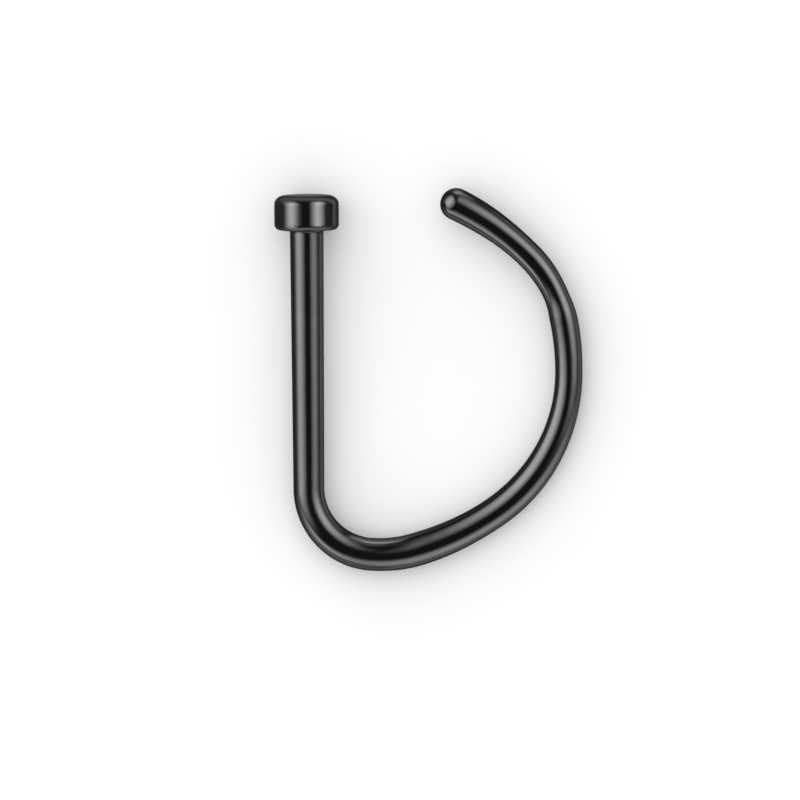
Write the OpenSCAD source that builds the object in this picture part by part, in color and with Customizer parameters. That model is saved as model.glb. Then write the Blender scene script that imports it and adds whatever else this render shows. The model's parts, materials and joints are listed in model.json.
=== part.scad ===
// Open nose hoop: a D-shaped ring of round steel wire with a flat disc head.
// The disc is welded to the end of the wire, then both are polished and coated together, so the
// ring is one solid. A straight post hangs below the disc. From its foot the wire bends round,
// always the same way, and ends in a plain rounded tip beside the disc, where the ring is open.
//
// The ring is drawn flat first: the underside of the disc is at the origin, the post runs along -Y
// and the wire's centre line lies in the plane z = 0. Then it's laid on its side: the disc is
// thicker than the wire, so the ring leans on the disc's rim and on the far side of the hoop.

/* [Disc head] */
// Diameter of the disc
disc_d = 1.94; // [1.8:0.02:2.6]
// Thickness of the disc
disc_t = 1.05; // [0.8:0.05:1.4]
// Height of the rounding round the disc's flat face, down the rim
face_round = 0.27; // [0.1:0.01:0.36]
// Width of the same rounding, in over the face
face_round_w = 0.33; // [0.1:0.01:0.4]
// Rounding of the disc's lower edge, on the post's side
under_round = 0.18; // [0.1:0.02:0.24]
// Radius of the weld's hollow collar round the top of the post
weld_r = 0.08; // [0.04:0.02:0.16]

/* [Post] */
// Length of the straight post, from the disc's underside to the first bend
post_l = 7.78; // [6.5:0.02:9]
// Wire diameter right under the disc
post_top_d = 1.01; // [0.9:0.01:1.1]
// Wire diameter at the foot of the post
post_foot_d = 0.93; // [0.85:0.01:1.0]

/* [Lying on its side] */
// Heading, in the ring's plane, of the slope from the disc's rim down to the hoop's far side
slope_heading = -44; // [-60:1:-30]

/* [Fineness] */
// Sides round the bent wire
wire_sides = 32; // [16:4:36]
// Largest turn between two rings of the bent wire, in degrees
ring_turn = 4; // [3.5:0.5:8]
// Rings over the rounded tip
tip_rings = 6; // [3:1:8]

/* [Hidden] */

// Bends of the wire, in order from the foot of the post to the tip. The columns are the radius of
// the wire's centre line, the turn in degrees, and the wire's diameter where the bend ends.
RADIUS = 0;
TURN = 1;
END_D = 2;
BENDS = [
    [2.0, 85.3, 0.99],  // tight bend at the foot of the post
    [3.9, 20.5, 1.01],  // bottom of the hoop
    [8.2, 18.5, 0.93],  // long shallow sweep, rising to the side
    [5.1, 53.5, 0.82],  // round side of the hoop
    [7.6, 13.1, 0.84],  // flatter stretch above it
    [3.8, 11.5, 0.76],  // shoulder, where the wire is thinnest
    [3.8, 22.2, 0.81],  // turn in towards the disc
    [8.0, 19.3, 0.97],  // last shallow run, thickening to the tip
];

COATED_STEEL = "#1d1d20";
disc_r = disc_d / 2;
arc_steps = 8;
$fn = 96;

// Points along an arc about a centre, from one angle to another, with its own radius along x and y
function arc(centre, r, from, to) =
    [for (k = [0:arc_steps])
        let (a = from + (to - from) * k / arc_steps)
        centre + [r.x * cos(a), r.y * sin(a)]];

// Heading of the centre line at the start of bend i; the post's own heading is straight down
function heading(i) = i == 0 ? -90 : heading(i - 1) + BENDS[i - 1][TURN];

// Way travelled along an arc of radius r that starts at heading h and turns left by a
function travel(r, h, a) = r * [sin(h + a) - sin(h), cos(h) - cos(h + a)];

// Start of bend i on the centre line
function bend_start(i) =
    i == 0 ? [0, -post_l]
           : bend_start(i - 1) + travel(BENDS[i - 1][RADIUS], heading(i - 1), BENDS[i - 1][TURN]);

function start_d(i) = i == 0 ? post_foot_d : BENDS[i - 1][END_D];

// Share of a change of thickness reached at share u of a bend, level at both ends
function eased(u) = u * u * (3 - 2 * u);

// Rings of the bent wire, each a centre, a heading and a radius
function bend_rings(i) =
    let (b = BENDS[i], n = ceil(b[TURN] / ring_turn))
    [for (k = [1:n])
        let (u = k / n)
        [bend_start(i) + travel(b[RADIUS], heading(i), b[TURN] * u),
         heading(i) + b[TURN] * u,
         (start_d(i) + (b[END_D] - start_d(i)) * eased(u)) / 2]];

// The wire starts a little way up inside the foot of the post, a hair thinner than it
foot_lap = 0.15;
foot_ease = 0.01;
last = len(BENDS);
tip_centre = bend_start(last);
tip_heading = heading(last);
tip_r = BENDS[last - 1][END_D] / 2;
along_tip = [cos(tip_heading), sin(tip_heading)];

first_ring = [[0, foot_lap - post_l], -90, post_foot_d / 2 - foot_ease];
tip_dome = [for (k = [1:tip_rings - 1])
    let (a = 90 * k / tip_rings)
    [tip_centre + tip_r * sin(a) * along_tip, tip_heading, tip_r * cos(a)]];
rings = concat([first_ring], [for (i = [0:last - 1]) each bend_rings(i)], tip_dome);

// Points round one ring, in the plane square to its heading
function ring_points(ring) =
    [for (k = [0:wire_sides - 1])
        let (a = 360 * k / wire_sides, side = [-sin(ring[1]), cos(ring[1])] * cos(a))
        [ring[0].x + ring[2] * side.x, ring[0].y + ring[2] * side.y, ring[2] * sin(a)]];

tip_end = tip_centre + tip_r * along_tip;
wire_points = concat([for (ring = rings) each ring_points(ring)], [[tip_end.x, tip_end.y, 0]]);
tip_point = len(wire_points) - 1;

// Corner k of ring j, counted round past the last side
function corner(j, k) = j * wire_sides + k % wire_sides;
wire_faces = concat(
    [[for (k = [0:wire_sides - 1]) corner(0, k)]],
    [for (j = [0:len(rings) - 2], k = [0:wire_sides - 1])
        [corner(j, k), corner(j + 1, k), corner(j + 1, k + 1), corner(j, k + 1)]],
    [for (k = [0:wire_sides - 1]) [corner(len(rings) - 1, k), tip_point, corner(len(rings) - 1, k + 1)]]);

// How the ring lies: leaning down the slope, the first ring of the wire to reach the surface that
// the disc's rim already stands on sets the lean
down_slope = [cos(slope_heading), sin(slope_heading)];
function reach(ring) = (ring[0] - [0, under_round]) * down_slope;
lean = min([for (ring = rings) if (reach(ring) > 0) asin((disc_r - ring[2]) / reach(ring))]);

// A point of the flat drawing, leaned down the slope about the origin
function leaned(p) =
    let (run = [p.x, p.y] * down_slope, shift = run * (cos(lean) - 1) + p.z * sin(lean))
    [p.x + shift * down_slope.x, p.y + shift * down_slope.y, p.z * cos(lean) - run * sin(lean)];

// Circles that bound the disc, each a height along its axis and a radius: both ends of its
// straight rim, and the edge of its flat face
disc_circles = [[under_round, disc_r], [disc_t - face_round, disc_r], [disc_t, disc_r - face_round_w]];
disc_points = [for (c = disc_circles, a = [0:3:357]) [c[1] * cos(a), c[0], c[1] * sin(a)]];

// Shift that centres the leaned ring over the origin and stands its lowest point on z = 0
outermost = [for (p = concat(wire_points, disc_points)) leaned(p)];
xs = [for (p = outermost) p.x];
ys = [for (p = outermost) p.y];
zs = [for (p = outermost) p.z];
seat = [-(min(xs) + max(xs)) / 2, -(min(ys) + max(ys)) / 2, -min(zs)];

// Turned disc: flat face, rounded edges, straight rim and a flat underside. The rounding of the face
// is wider than it's tall.
module disc_head() {
    outline = concat(
        [[0, disc_t]],
        arc([disc_r - face_round_w, disc_t - face_round], [face_round_w, face_round], 90, 0),
        arc([disc_r - under_round, under_round], [under_round, under_round], 0, -90),
        [[0, 0]]);
    color(COATED_STEEL) rotate([-90, 0, 0]) rotate_extrude() polygon(outline);
}

// Weld: a hollow collar that runs from the disc's underside on to the post
module weld_collar() {
    post_r = post_top_d / 2;
    sunk = 0.1;
    outline = concat(
        [[0, sunk], [post_r + weld_r, sunk]],
        arc([post_r + weld_r, -weld_r], [weld_r, weld_r], 90, 180),
        [[0, -weld_r]]);
    color(COATED_STEEL) rotate([-90, 0, 0]) rotate_extrude() polygon(outline);
}

// Straight round post, a little thinner at its foot
module post() {
    color(COATED_STEEL) rotate([90, 0, 0]) cylinder(h = post_l, d1 = post_top_d, d2 = post_foot_d);
}

// Bent wire from the foot of the post to the rounded tip
module bent_wire() {
    color(COATED_STEEL) polyhedron(points = wire_points, faces = wire_faces, convexity = 4);
}

module nose_hoop() {
    translate(seat) rotate(a = lean, v = [-down_slope.y, down_slope.x, 0]) {
        disc_head();
        weld_collar();
        post();
        bent_wire();
    }
}

nose_hoop();
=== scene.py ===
import json

import bpy
import numpy as np
from mathutils import Matrix, Vector


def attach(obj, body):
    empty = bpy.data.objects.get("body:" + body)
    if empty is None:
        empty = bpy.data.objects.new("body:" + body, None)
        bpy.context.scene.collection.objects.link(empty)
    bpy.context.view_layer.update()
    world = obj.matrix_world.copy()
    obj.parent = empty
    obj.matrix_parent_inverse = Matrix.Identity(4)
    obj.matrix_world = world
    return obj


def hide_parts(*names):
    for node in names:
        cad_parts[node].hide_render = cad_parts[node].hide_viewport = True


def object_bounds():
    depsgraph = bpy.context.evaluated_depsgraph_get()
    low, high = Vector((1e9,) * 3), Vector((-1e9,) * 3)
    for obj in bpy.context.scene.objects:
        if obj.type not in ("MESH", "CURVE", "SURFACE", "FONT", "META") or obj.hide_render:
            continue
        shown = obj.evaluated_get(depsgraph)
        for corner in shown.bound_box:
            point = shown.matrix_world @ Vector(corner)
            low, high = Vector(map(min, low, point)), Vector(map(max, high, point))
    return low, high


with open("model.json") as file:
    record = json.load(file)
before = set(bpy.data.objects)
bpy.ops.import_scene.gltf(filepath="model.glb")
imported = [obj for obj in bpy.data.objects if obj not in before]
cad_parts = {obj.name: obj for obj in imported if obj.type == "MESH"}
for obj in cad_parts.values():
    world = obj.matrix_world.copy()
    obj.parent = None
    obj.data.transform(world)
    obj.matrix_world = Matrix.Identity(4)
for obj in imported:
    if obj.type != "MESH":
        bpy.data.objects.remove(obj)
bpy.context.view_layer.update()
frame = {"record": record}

# Disc head. A round stop turned on a lathe, with a flat face, rounded edges and a straight rim. It's
# welded to the end of the wire, and the weld is ground to a small hollow collar round the post. Disc,
# weld and wire are then polished and coated together, so on the real ring they are one piece.
MM = 0.001
DISC_R = 0.97 * MM
DISC_THICK = 1.05 * MM
FACE_ROUND_TALL = 0.27 * MM
FACE_ROUND_WIDE = 0.33 * MM
UNDER_ROUND = 0.18 * MM
WELD_R = 0.08 * MM
POST_TOP_R = 0.505 * MM
HAIR = 0.01 * MM        # how far inside the post the disc's skin ends
DOWN = -np.pi / 2       # heading of the post, from the disc to its foot
SIDES = 96
FLAT_RINGS = 8          # circles along a straight stretch of the outline
EDGE_RINGS = 14         # circles over a rounded edge

# The ring is drawn flat and laid on its side, where it leans on the disc's rim and the far side of
# the hoop, so its plane slopes by a few degrees. The disc's face, in the imported record, and the
# heading of that slope say where that plane is.
SLOPE_HEADING = np.radians(-44.0)   # in the ring's plane, from the disc's rim down to the far side
disc_face = next(mount for mount in frame["record"]["mounts"] if mount["name"] == "disc_face")
lean = np.arcsin(disc_face["axis"][2] / -np.sin(SLOPE_HEADING))
flat_slope = np.array([np.cos(SLOPE_HEADING), np.sin(SLOPE_HEADING), 0.0])
down_slope = np.cos(lean) * flat_slope - [0, 0, np.sin(lean)]
level = np.array([-np.sin(SLOPE_HEADING), np.cos(SLOPE_HEADING), 0.0])
across = np.cos(SLOPE_HEADING) * down_slope - np.sin(SLOPE_HEADING) * level
up_post = np.sin(SLOPE_HEADING) * down_slope + np.cos(SLOPE_HEADING) * level
upwards = np.cross(across, up_post)
underside = np.array(disc_face["pos_m"]) - DISC_THICK * up_post


def laid(x, y, z):
    """A point of the flat drawing where the ring lies: the disc's underside, plus x times across,
    y times up_post and z times upwards."""
    in_plane = np.multiply.outer(x, across) + np.multiply.outer(y, up_post)
    return underside + in_plane + np.multiply.outer(z, upwards)


def rounded(height, radius, tall, wide, start, end):
    """Circles over a rounded edge, between two angles in degrees: its own centre, plus tall times the
    sine of the angle along the post and wide times the cosine out from it. The wear is the sine of
    twice the angle."""
    angle = np.radians(np.linspace(start, end, EDGE_RINGS))
    return np.column_stack([height + tall * np.sin(angle), radius + wide * np.cos(angle),
                            np.abs(np.sin(2 * angle))])


def straight(height_a, radius_a, height_b, radius_b):
    """Circles along a straight stretch of the outline, without its two ends, which carry no wear."""
    share = np.linspace(0, 1, FLAT_RINGS + 2)[1:-1]
    return np.column_stack([height_a + (height_b - height_a) * share,
                            radius_a + (radius_b - radius_a) * share, 0 * share])


def turned_outline():
    """The outline of the disc and its weld as circles about the post's line, each a height, a radius
    and a share of wear: flat face, rounded edge, rim, lower edge, underside, and the weld's hollow of
    a quarter circle, which isn't worn. It ends a hair inside the post, where the skin is closed."""
    face_flat_r = DISC_R - FACE_ROUND_WIDE
    rim_top = DISC_THICK - FACE_ROUND_TALL
    under_flat_r = DISC_R - UNDER_ROUND
    collar_r = POST_TOP_R + WELD_R
    return np.vstack([
        straight(DISC_THICK, 0, DISC_THICK, face_flat_r),
        rounded(rim_top, face_flat_r, FACE_ROUND_TALL, FACE_ROUND_WIDE, 90, 0),
        straight(rim_top, DISC_R, UNDER_ROUND, DISC_R),
        rounded(UNDER_ROUND, under_flat_r, UNDER_ROUND, UNDER_ROUND, 0, -90),
        straight(0, under_flat_r, 0, collar_r),
        rounded(-WELD_R, collar_r, -WELD_R, -WELD_R, -90, 0) * [1, 1, 0],
        [[-2 * WELD_R, POST_TOP_R - HAIR, 0]],
    ])


def skin_points(x, y, heading, radius, poles):
    """Points round every circle: its centre, plus its radius times the cosine of the angle to the
    left of the heading and times the sine upwards. A pole at each end closes the skin."""
    angle = np.linspace(0, 2 * np.pi, SIDES, endpoint=False)
    out = np.multiply.outer(radius, np.cos(angle))
    ring_x = x[:, None] - out * np.sin(heading)[:, None]
    ring_y = y[:, None] + out * np.cos(heading)[:, None]
    ring_z = np.multiply.outer(radius, np.sin(angle))
    pole_x, pole_y = np.transpose(poles)
    ends = laid(pole_x, pole_y, np.zeros(2))
    return np.vstack([ends[:1], laid(ring_x, ring_y, ring_z).reshape(-1, 3), ends[1:]])


def skin_faces(rings):
    """Four-sided faces between neighbouring circles and a fan of three-sided ones at each pole."""
    corner = 1 + np.arange(rings)[:, None] * SIDES + np.arange(SIDES)
    after = np.roll(corner, -1, axis=1)
    quads = np.stack([corner[:-1], after[:-1], after[1:], corner[1:]], axis=-1).reshape(-1, 4)
    first_fan = np.column_stack([np.zeros(SIDES, int), after[0], corner[0]])
    last_fan = np.column_stack([corner[-1], after[-1], np.full(SIDES, rings * SIDES + 1)])
    return quads.tolist() + first_fan.tolist() + last_fan.tolist()


def made_mesh(name, points, faces):
    """A smooth mesh object at the origin, with its place in its points."""
    mesh = bpy.data.meshes.new(name)
    mesh.from_pydata(points.tolist(), [], faces)
    mesh.shade_smooth()
    piece = bpy.data.objects.new(name, mesh)
    bpy.context.scene.collection.objects.link(piece)
    return piece


def add_marks(piece, along, across_x, across_y, wear):
    """What the making leaves on each point of a skin: its place in the marks, in millimetres, and
    its share of wear. A pole takes the mean of the circle next to it."""
    marks = np.stack(np.broadcast_arrays(along, across_x, across_y), axis=-1)
    worn = np.repeat(wear[:, None], SIDES, axis=1)
    for name, kind, field, rings in (("marks", "FLOAT_VECTOR", "vector", marks),
                                     ("worn", "FLOAT", "value", worn)):
        values = rings.reshape(len(wear) * SIDES, -1)
        values = np.vstack([values[:SIDES].mean(0), values, values[-SIDES:].mean(0)])
        attribute = piece.data.attributes.new(name, kind, "POINT")
        attribute.data.foreach_set(field, values.astype(np.float32).ravel())


def way_over(x, y, radius):
    """The way travelled over a skin from circle to circle, in millimetres, as a column."""
    step = np.hypot(np.hypot(np.diff(x), np.diff(y)), np.diff(radius))
    return np.concatenate([[0], np.cumsum(step)])[:, None] / MM


disc_y, disc_r, disc_worn = turned_outline().T
disc_x = np.zeros(len(disc_y))
disc_points = skin_points(disc_x, disc_y, np.full(len(disc_y), DOWN), disc_r,
                          [(0, DISC_THICK), (0, disc_y[-1])])
disc = made_mesh("disc_head", disc_points, skin_faces(len(disc_r)))

# The disc was turned, so its marks change from circle to circle and run round it, LINE_STRETCH times
# longer than they are wide
LINE_STRETCH = 60
around = np.linspace(0, 2 * np.pi, SIDES, endpoint=False)
disc_ring = disc_r[:, None] / MM
add_marks(disc, way_over(disc_x, disc_y, disc_r), disc_ring * np.cos(around) / LINE_STRETCH,
          disc_ring * np.sin(around) / LINE_STRETCH, disc_worn)


def linear(hex_colour):
    """A hex colour as linear red, green, blue and alpha: each channel c becomes c / 12.92 where it is
    small and ((c + 0.055) / 1.055) to the power 2.4 above that."""
    c = np.array([int(hex_colour[i:i + 2], 16) for i in (1, 3, 5)]) / 255
    return (*np.where(c <= 0.04045, c / 12.92, ((c + 0.055) / 1.055) ** 2.4).tolist(), 1.0)


def add_node(tree, kind, settings=(), inputs=(), links=()):
    """One node with its settings, the values of its inputs, and links into them from other sockets."""
    node = tree.nodes.new("ShaderNode" + kind)
    for name, value in dict(settings).items():
        setattr(node, name, value)
    for name, value in dict(inputs).items():
        node.inputs[name].default_value = value
    for name, socket in dict(links).items():
        tree.links.new(socket, node.inputs[name])
    return node


CLOUD_WIDE = 1.2 * MM
RUB_SHARE = 0.3                         # how much of the rubbed colour shows at full wear
LINE_WIDE = 0.06                        # in millimetres, as the marks are
NOISE_LOW, NOISE_HIGH = 0.3, 0.7        # what the lines' noise mostly stays between
ROUGH_LOW, ROUGH_HIGH = 0.06, 0.11
RIPPLE_WIDE = 0.7 * MM
RIPPLE_DEEP = 0.006 * MM
SCORE_DEEP = 0.0003 * MM


def black_coated_steel():
    """Vapour-coated surgical steel, polished before the coat. The coat is a black metal a few
    thousandths of a millimetre thick: it mirrors the lights dimly, keeps the faint lines of the die
    and the lathe, is a shade uneven, and is rubbed a little lighter along the disc's edges."""
    material = bpy.data.materials.new("black_coated_steel")
    material.use_nodes = True
    tree = material.node_tree
    shader = tree.nodes["Principled BSDF"]
    place = add_node(tree, "TexCoord").outputs["Object"]
    marks = add_node(tree, "Attribute", {"attribute_name": "marks"}).outputs["Vector"]
    worn = add_node(tree, "Attribute", {"attribute_name": "worn"}).outputs["Fac"]

    # Clouds in the coat, a shade bluer where it came out thinner
    cloud = add_node(tree, "TexNoise", inputs={"Scale": 1 / CLOUD_WIDE, "Detail": 2.0},
                     links={"Vector": place})
    clouded = add_node(tree, "Mix", {"data_type": "RGBA"},
                       {"A": linear("#4b4c4e"), "B": linear("#575755")},
                       {"Factor": cloud.outputs["Fac"]})
    rub = add_node(tree, "Math", {"operation": "MULTIPLY"}, {1: RUB_SHARE}, {0: worn})
    colour = add_node(tree, "Mix", {"data_type": "RGBA"}, {"B": linear("#6b6b6b")},
                      {"Factor": rub.outputs[0], "A": clouded.outputs["Result"]})
    tree.links.new(colour.outputs["Result"], shader.inputs["Base Color"])

    # Lines of the die and the lathe, drawn LINE_WIDE so that they show: real ones are under 0.01 mm
    lines = add_node(tree, "TexNoise", inputs={"Scale": 1 / LINE_WIDE, "Detail": 3.0},
                     links={"Vector": marks})
    gloss = add_node(tree, "MapRange", {}, {"From Min": NOISE_LOW, "From Max": NOISE_HIGH,
                                            "To Min": ROUGH_LOW, "To Max": ROUGH_HIGH},
                     {"Value": lines.outputs["Fac"]})
    tree.links.new(gloss.outputs[0], shader.inputs["Roughness"])

    # The polish leaves the steel rippled by a few thousandths of a millimetre, and the lines are
    # scored into it far more finely
    ripple = add_node(tree, "TexNoise", inputs={"Scale": 1 / RIPPLE_WIDE, "Detail": 1.0},
                      links={"Vector": place})
    rippled = add_node(tree, "Bump", inputs={"Strength": 1.0, "Distance": RIPPLE_DEEP},
                       links={"Height": ripple.outputs["Fac"]})
    scored = add_node(tree, "Bump", inputs={"Strength": 1.0, "Distance": SCORE_DEEP},
                      links={"Height": lines.outputs["Fac"], "Normal": rippled.outputs["Normal"]})
    tree.links.new(scored.outputs["Normal"], shader.inputs["Normal"])
    shader.inputs["Metallic"].default_value = 1.0

    # At flat angles bare metal mirrors almost like a white one, and the dark coat takes some of that
    shader.inputs["Specular Tint"].default_value = linear("#cbcbcb")
    return material


coat = black_coated_steel()
disc.data.materials.append(coat)
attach(disc, "root")
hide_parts("nose_hoop")

# Wire. Steel wire of about one millimetre, drawn through a die. Below the disc it runs straight down
# as the post, then it's bent round, always the same way, through a row of bends that open and close,
# and its end beside the disc is ground to a plain round tip.
POST_LONG = 7.78 * MM
POST_FOOT_R = 0.465 * MM
SUNK = 0.2 * MM         # how far the wire reaches up inside the disc
RING_STEP = 0.06 * MM   # way along a bend from circle to circle
TIP_RINGS = 22

# The bends from the foot of the post to the tip: the radius of the centre line in millimetres, the
# turn in degrees, and the wire's diameter in millimetres where the bend ends
BENDS = [
    (2.0, 85.3, 0.99),   # tight bend at the foot of the post
    (3.9, 20.5, 1.01),   # bottom of the hoop
    (8.2, 18.5, 0.93),   # long shallow sweep, rising to the side
    (5.1, 53.5, 0.82),   # round side of the hoop
    (7.6, 13.1, 0.84),   # flatter stretch above it
    (3.8, 11.5, 0.76),   # shoulder, where the wire is thinnest
    (3.8, 22.2, 0.81),   # turn in towards the disc
    (8.0, 19.3, 0.97),   # last shallow run, thickening to the tip
]


def straight_post():
    """Circles down the post, as x, y, heading and radius, from inside the disc to its foot. The
    radius falls evenly with the height."""
    height = np.linspace(SUNK, -POST_LONG, int(POST_LONG / (2 * RING_STEP)))
    radius = POST_TOP_R + (POST_TOP_R - POST_FOOT_R) / POST_LONG * height
    return np.column_stack([0 * height, height, np.full(len(height), DOWN), radius])


def bend(start, heading, radius, turn, wire_a, wire_b):
    """Circles along one bend to the left. A centre is the start plus the bend's radius times the
    change in the sine and in minus the cosine of the heading. The thickness passes from one end's to
    the other's by 3u² - 2u³ of the share u of the turn."""
    share = np.linspace(0, 1, int(radius * turn / RING_STEP) + 1)[1:]
    now = heading + turn * share
    eased = share * share * (3 - 2 * share)
    return np.column_stack([start[0] + radius * (np.sin(now) - np.sin(heading)),
                            start[1] - radius * (np.cos(now) - np.cos(heading)),
                            now, wire_a + (wire_b - wire_a) * eased])


def round_tip(x, y, heading, tip_r):
    """Circles over half a ball: they move on by the sine of an angle and shrink by its cosine."""
    angle = np.linspace(0, np.pi / 2, TIP_RINGS)[1:-1]
    forward = tip_r * np.sin(angle)
    return np.column_stack([x + forward * np.cos(heading), y + forward * np.sin(heading),
                            np.full(len(angle), heading), tip_r * np.cos(angle)])


runs = [straight_post()]
for bend_r, turn, end_d in BENDS:
    x, y, heading, wire_r = runs[-1][-1]
    runs.append(bend((x, y), heading, bend_r * MM, np.radians(turn), wire_r, end_d / 2 * MM))
x, y, heading, tip_r = runs[-1][-1]
runs.append(round_tip(x, y, heading, tip_r))
tip_end = (x + tip_r * np.cos(heading), y + tip_r * np.sin(heading))

wire_x, wire_y, wire_heading, wire_r = np.vstack(runs).T
wire_points = skin_points(wire_x, wire_y, wire_heading, wire_r, [(0, SUNK), tip_end])
wire = made_mesh("bent_wire", wire_points, skin_faces(len(wire_r)))

# The wire was drawn, so its marks change round it and run along it
wire_ring = wire_r[:, None] / MM
add_marks(wire, way_over(wire_x, wire_y, wire_r) / LINE_STRETCH, wire_ring * np.cos(around),
          wire_ring * np.sin(around), 0 * wire_r)
wire.data.materials.append(coat)
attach(wire, "root")
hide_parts("nose_hoop")

# Floor. A sheet of smooth white card under the ring, matt and a touch uneven. It's kept out of what
# the metal mirrors, as the ring in a catalogue picture hangs free with dark studio behind it.
FLOOR_HALF = 1.5
floor_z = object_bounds()[0].z
floor_corners = np.array([[-1, -1, 0], [1, -1, 0], [1, 1, 0], [-1, 1, 0]]) * FLOOR_HALF
floor = made_mesh("white_card", floor_corners + [0, 0, floor_z], [[0, 1, 2, 3]])
DRIFT_WIDE = 6 * MM


def white_card():
    """Uncoated white card: matt, with a tone that drifts by about a hundredth."""
    material = bpy.data.materials.new("white_card")
    material.use_nodes = True
    tree = material.node_tree
    shader = tree.nodes["Principled BSDF"]
    place = add_node(tree, "TexCoord").outputs["Object"]
    drift = add_node(tree, "TexNoise", inputs={"Scale": 1 / DRIFT_WIDE, "Detail": 2.0},
                     links={"Vector": place})
    tone = add_node(tree, "Mix", {"data_type": "RGBA"},
                    {"A": linear("#f4f4f3"), "B": linear("#f8f8f8")},
                    {"Factor": drift.outputs["Fac"]})
    tree.links.new(tone.outputs["Result"], shader.inputs["Base Color"])
    shader.inputs["Roughness"].default_value = 0.9
    shader.inputs["Specular IOR Level"].default_value = 0.0
    return material


floor.data.materials.append(white_card())
floor.visible_glossy = False

# Some of the lamps stand lower than the floor, and their light has to pass it
floor.visible_shadow = False

# Camera. It looks down on the ring from 0.4 m through a long lens. It stands four degrees off square
# to the ring's plane, on the disc's side, so the disc's face just shows. The post is upright in the
# picture but for a lean of half a degree.
CAMERA_AWAY = 0.4
CAMERA_TILT = np.radians(4.0)
FRAME_WIDE = 24 * MM                    # what the picture takes in across, at the ring
SENSOR = 36.0
PICTURE = 800
DISC_PIXEL = np.array([306.7, 230.0])   # the middle of the disc's underside in the 800 pixel picture
POST_LEAN = np.radians(0.46)

along_plane = np.sin(POST_LEAN) * across + np.cos(POST_LEAN) * up_post
picture_right = np.cross(along_plane, upwards)
picture_up = np.cos(CAMERA_TILT) * along_plane - np.sin(CAMERA_TILT) * upwards
towards_camera = np.sin(CAMERA_TILT) * along_plane + np.cos(CAMERA_TILT) * upwards
to_middle = (PICTURE / 2 - DISC_PIXEL) * FRAME_WIDE / PICTURE
aim = underside + to_middle[0] * picture_right - to_middle[1] * picture_up


def turned_to(right, up, towards_eye, place):
    """The matrix of an object with these three axes, which stand square to each other, at a place."""
    rotation = Matrix(np.column_stack([right, up, towards_eye]).tolist()).to_4x4()
    return Matrix.Translation(Vector(place)) @ rotation


lens = bpy.data.cameras.new("camera")
lens.sensor_width = SENSOR
lens.lens = SENSOR * CAMERA_AWAY / FRAME_WIDE
lens.clip_start = 10 * MM
camera = bpy.data.objects.new("camera", lens)
bpy.context.scene.collection.objects.link(camera)
camera_place = aim + CAMERA_AWAY * towards_camera
camera.matrix_world = turned_to(picture_right, picture_up, towards_camera, camera_place)
bpy.context.scene.camera = camera
bpy.context.scene.view_settings.view_transform = "Standard"

# Studio light. Soft panels stand round the ring in a dim room, each brighter in its middle than at
# its edges, and the black metal shows them as long bands. The disc and the wire are lit apart, as in
# a catalogue picture put together from two shots, and a lamp of its own lights the floor.
PANEL_AWAY = 0.45


def lit_alone(piece):
    """A collection of one piece, for the lamps that light that piece and nothing else."""
    only = bpy.data.collections.new("lit_" + piece.name)
    only.objects.link(piece)
    return only


def glowing_panel(only, name, azimuth, polar, roll, wide, tall, fade_wide, fade_tall, glow):
    """A panel that faces the ring. Azimuth goes round the picture from its right towards its top, and
    polar down from the camera. Wide and tall are its sides as a share of its distance, and the fades
    the shares of a side that the light takes to rise from either end of it. Glow is how bright its
    middle is."""
    azimuth, polar, roll = np.radians([azimuth, polar, roll])
    round_picture = np.cos(azimuth) * picture_right + np.sin(azimuth) * picture_up
    out = np.sin(polar) * round_picture + np.cos(polar) * towards_camera
    side = np.cos(azimuth) * picture_up - np.sin(azimuth) * picture_right
    down = np.cross(side, out)
    width_axis = np.cos(roll) * side + np.sin(roll) * down
    height_axis = np.cos(roll) * down - np.sin(roll) * side
    panel = bpy.data.lights.new(name, "AREA")
    panel.shape = "RECTANGLE"
    panel.size = wide * PANEL_AWAY
    panel.size_y = tall * PANEL_AWAY
    panel.energy = np.pi * panel.size * panel.size_y * glow
    panel.use_nodes = True
    tree = panel.node_tree
    spot = add_node(tree, "NewGeometry").outputs["Parametric"]
    part = add_node(tree, "SeparateXYZ", links={"Vector": spot})
    rises = []
    for from_end, fade in ((part.outputs["X"], fade_wide), (part.outputs["Y"], fade_tall)):
        to_end = add_node(tree, "Math", {"operation": "SUBTRACT"}, {0: 1.0}, {1: from_end})
        for share in (from_end, to_end.outputs[0]):
            rise = add_node(tree, "MapRange", {"interpolation_type": "SMOOTHSTEP"},
                            {"From Max": fade}, {"Value": share})
            rises.append(rise.outputs[0])
    strength = rises[0]
    for rise in rises[1:]:
        product = add_node(tree, "Math", {"operation": "MULTIPLY"}, links={0: strength, 1: rise})
        strength = product.outputs[0]
    tree.links.new(strength, tree.nodes["Emission"].inputs["Strength"])
    lamp = bpy.data.objects.new(name, panel)
    bpy.context.scene.collection.objects.link(lamp)
    lamp.matrix_world = turned_to(width_axis, height_axis, out, aim + PANEL_AWAY * out)
    lamp.light_linking.receiver_collection = only
    lamp.visible_camera = False
    lamp.visible_diffuse = False


# Each lamp has its azimuth, polar and roll, its two sides, its two fades and its glow, set to
# the highlights of the photograph
by_wire = lit_alone(wire)
glowing_panel(by_wire, "left_softbox", 160, 54, 30, 2.1, 2.3, 0.40, 0.65, 5.3)
glowing_panel(by_wire, "right_softbox", 24, 48, -10, 1.9, 1.7, 0.55, 0.65, 5.3)
glowing_panel(by_wire, "back_lamp", 82, 100, -15, 0.9, 2.3, 0.20, 1.00, 3.0)
glowing_panel(by_wire, "back_strip", 82, 92, 0, 1.0, 0.4, 0.35, 0.20, 1.8)
glowing_panel(by_wire, "near_card", 295, 72, 15, 3.7, 1.5, 0.70, 0.90, 10.5)
glowing_panel(by_wire, "low_card", -15, 115, -10, 5.0, 1.5, 0.05, 0.45, 0.6)
glowing_panel(by_wire, "rim_card", 226, 102, -60, 1.5, 4.0, 0.95, 0.85, 6.5)
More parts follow.
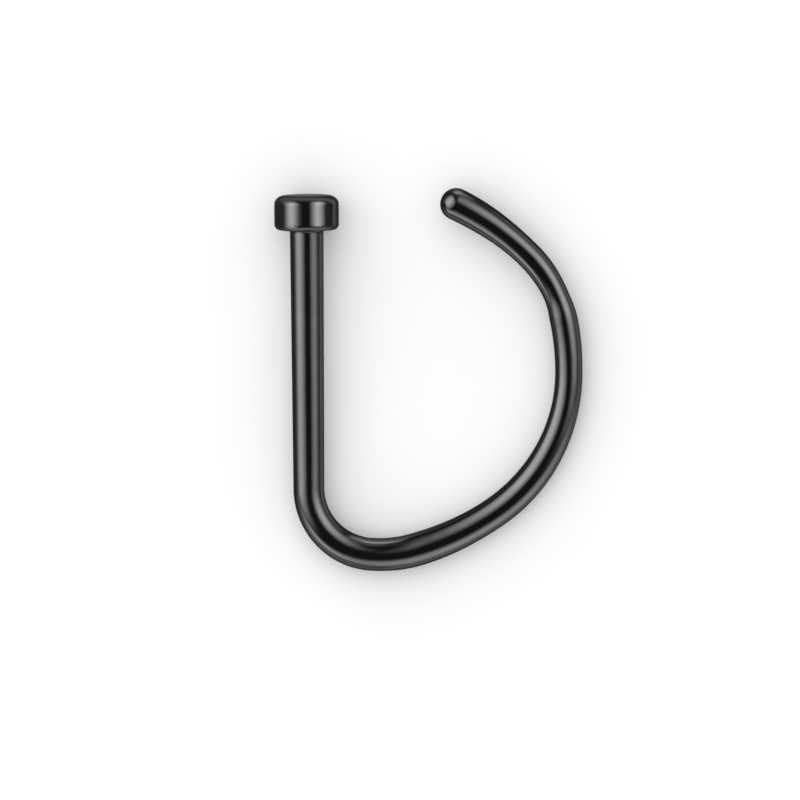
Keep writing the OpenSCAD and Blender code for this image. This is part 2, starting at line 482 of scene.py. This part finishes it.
glowing_panel(by_wire, "rim_strip", 230, 77, -20, 1.4, 0.7, 0.50, 0.45, 2.4)

by_disc = lit_alone(disc)
glowing_panel(by_disc, "disc_left_softbox", 160, 60, 35, 1.3, 2.5, 1.00, 0.65, 11.5)
glowing_panel(by_disc, "disc_right_softbox", 20, 45, -65, 1.4, 2.0, 0.60, 0.40, 5.5)
glowing_panel(by_disc, "disc_back_card", 95, 100, -60, 1.8, 5.0, 0.55, 1.00, 2.0)
glowing_panel(by_disc, "disc_near_card", 275, 90, 0, 5.0, 3.5, 0.95, 0.80, 7.0)
glowing_panel(by_disc, "disc_low_card", 30, 115, -15, 3.5, 0.9, 0.90, 0.85, 5.0)
glowing_panel(by_disc, "disc_rim_card", 190, 60, -70, 1.3, 3.1, 0.70, 0.70, 7.0)

FLOOR_LAMP_WIDE = 0.9
FLOOR_LAMP_WATTS = 1.2
FLOOR_LAMP_PLACE = (-0.175, 0.1575, 0.35)
floor_lamp = bpy.data.lights.new("floor_lamp", "AREA")
floor_lamp.shape = "DISK"
floor_lamp.size = FLOOR_LAMP_WIDE
floor_lamp.energy = FLOOR_LAMP_WATTS
lamp_object = bpy.data.objects.new("floor_lamp", floor_lamp)
bpy.context.scene.collection.objects.link(lamp_object)
lamp_object.location = FLOOR_LAMP_PLACE
lamp_object.rotation_euler = lamp_object.location.to_track_quat("Z", "Y").to_euler()
lamp_object.visible_glossy = False
lamp_object.visible_camera = False

# The room's grey: as the camera sees it, as it lights the floor, as the metal mirrors it, and as the
# metal mirrors it round the camera
ROOM_SEEN = 0.93
ROOM_FILL = 0.85
ROOM_MIRRORED = 0.2
ROOM_ROUND_CAMERA = 0.07
DARK_FROM, DARK_AT = 0.57, 0.62


def studio_room():
    """The room: pale behind the floor, an even fill for the floor, and dim in what the metal mirrors.
    There it falls to its darkest as the cosine of the angle to the camera's direction rises from
    DARK_FROM to DARK_AT."""
    world = bpy.data.worlds.new("studio_room")
    world.use_nodes = True
    tree = world.node_tree
    background = tree.nodes["Background"]
    ray = add_node(tree, "LightPath")
    direction = add_node(tree, "TexCoord").outputs["Generated"]
    cosine = add_node(tree, "VectorMath", {"operation": "DOT_PRODUCT"},
                      {1: towards_camera.tolist()}, {0: direction})
    dim = add_node(tree, "MapRange", {"interpolation_type": "SMOOTHSTEP"},
                   {"From Min": DARK_FROM, "From Max": DARK_AT, "To Min": ROOM_MIRRORED,
                    "To Max": ROOM_ROUND_CAMERA}, {"Value": cosine.outputs["Value"]})
    pale = add_node(tree, "Mix", {"data_type": "RGBA"},
                    {"A": (ROOM_FILL, ROOM_FILL, ROOM_FILL, 1),
                     "B": (ROOM_SEEN, ROOM_SEEN, ROOM_SEEN, 1)},
                    {"Factor": ray.outputs["Is Camera Ray"]})
    shown = add_node(tree, "Mix", {"data_type": "RGBA"}, {},
                     {"Factor": ray.outputs["Is Glossy Ray"], "A": pale.outputs["Result"],
                      "B": dim.outputs[0]})
    tree.links.new(shown.outputs["Result"], background.inputs["Color"])

    # The room is even and soft, so the surfaces find its light without rays aimed at it
    world.cycles.sampling_method = "NONE"
    return world


bpy.context.scene.world = studio_room()
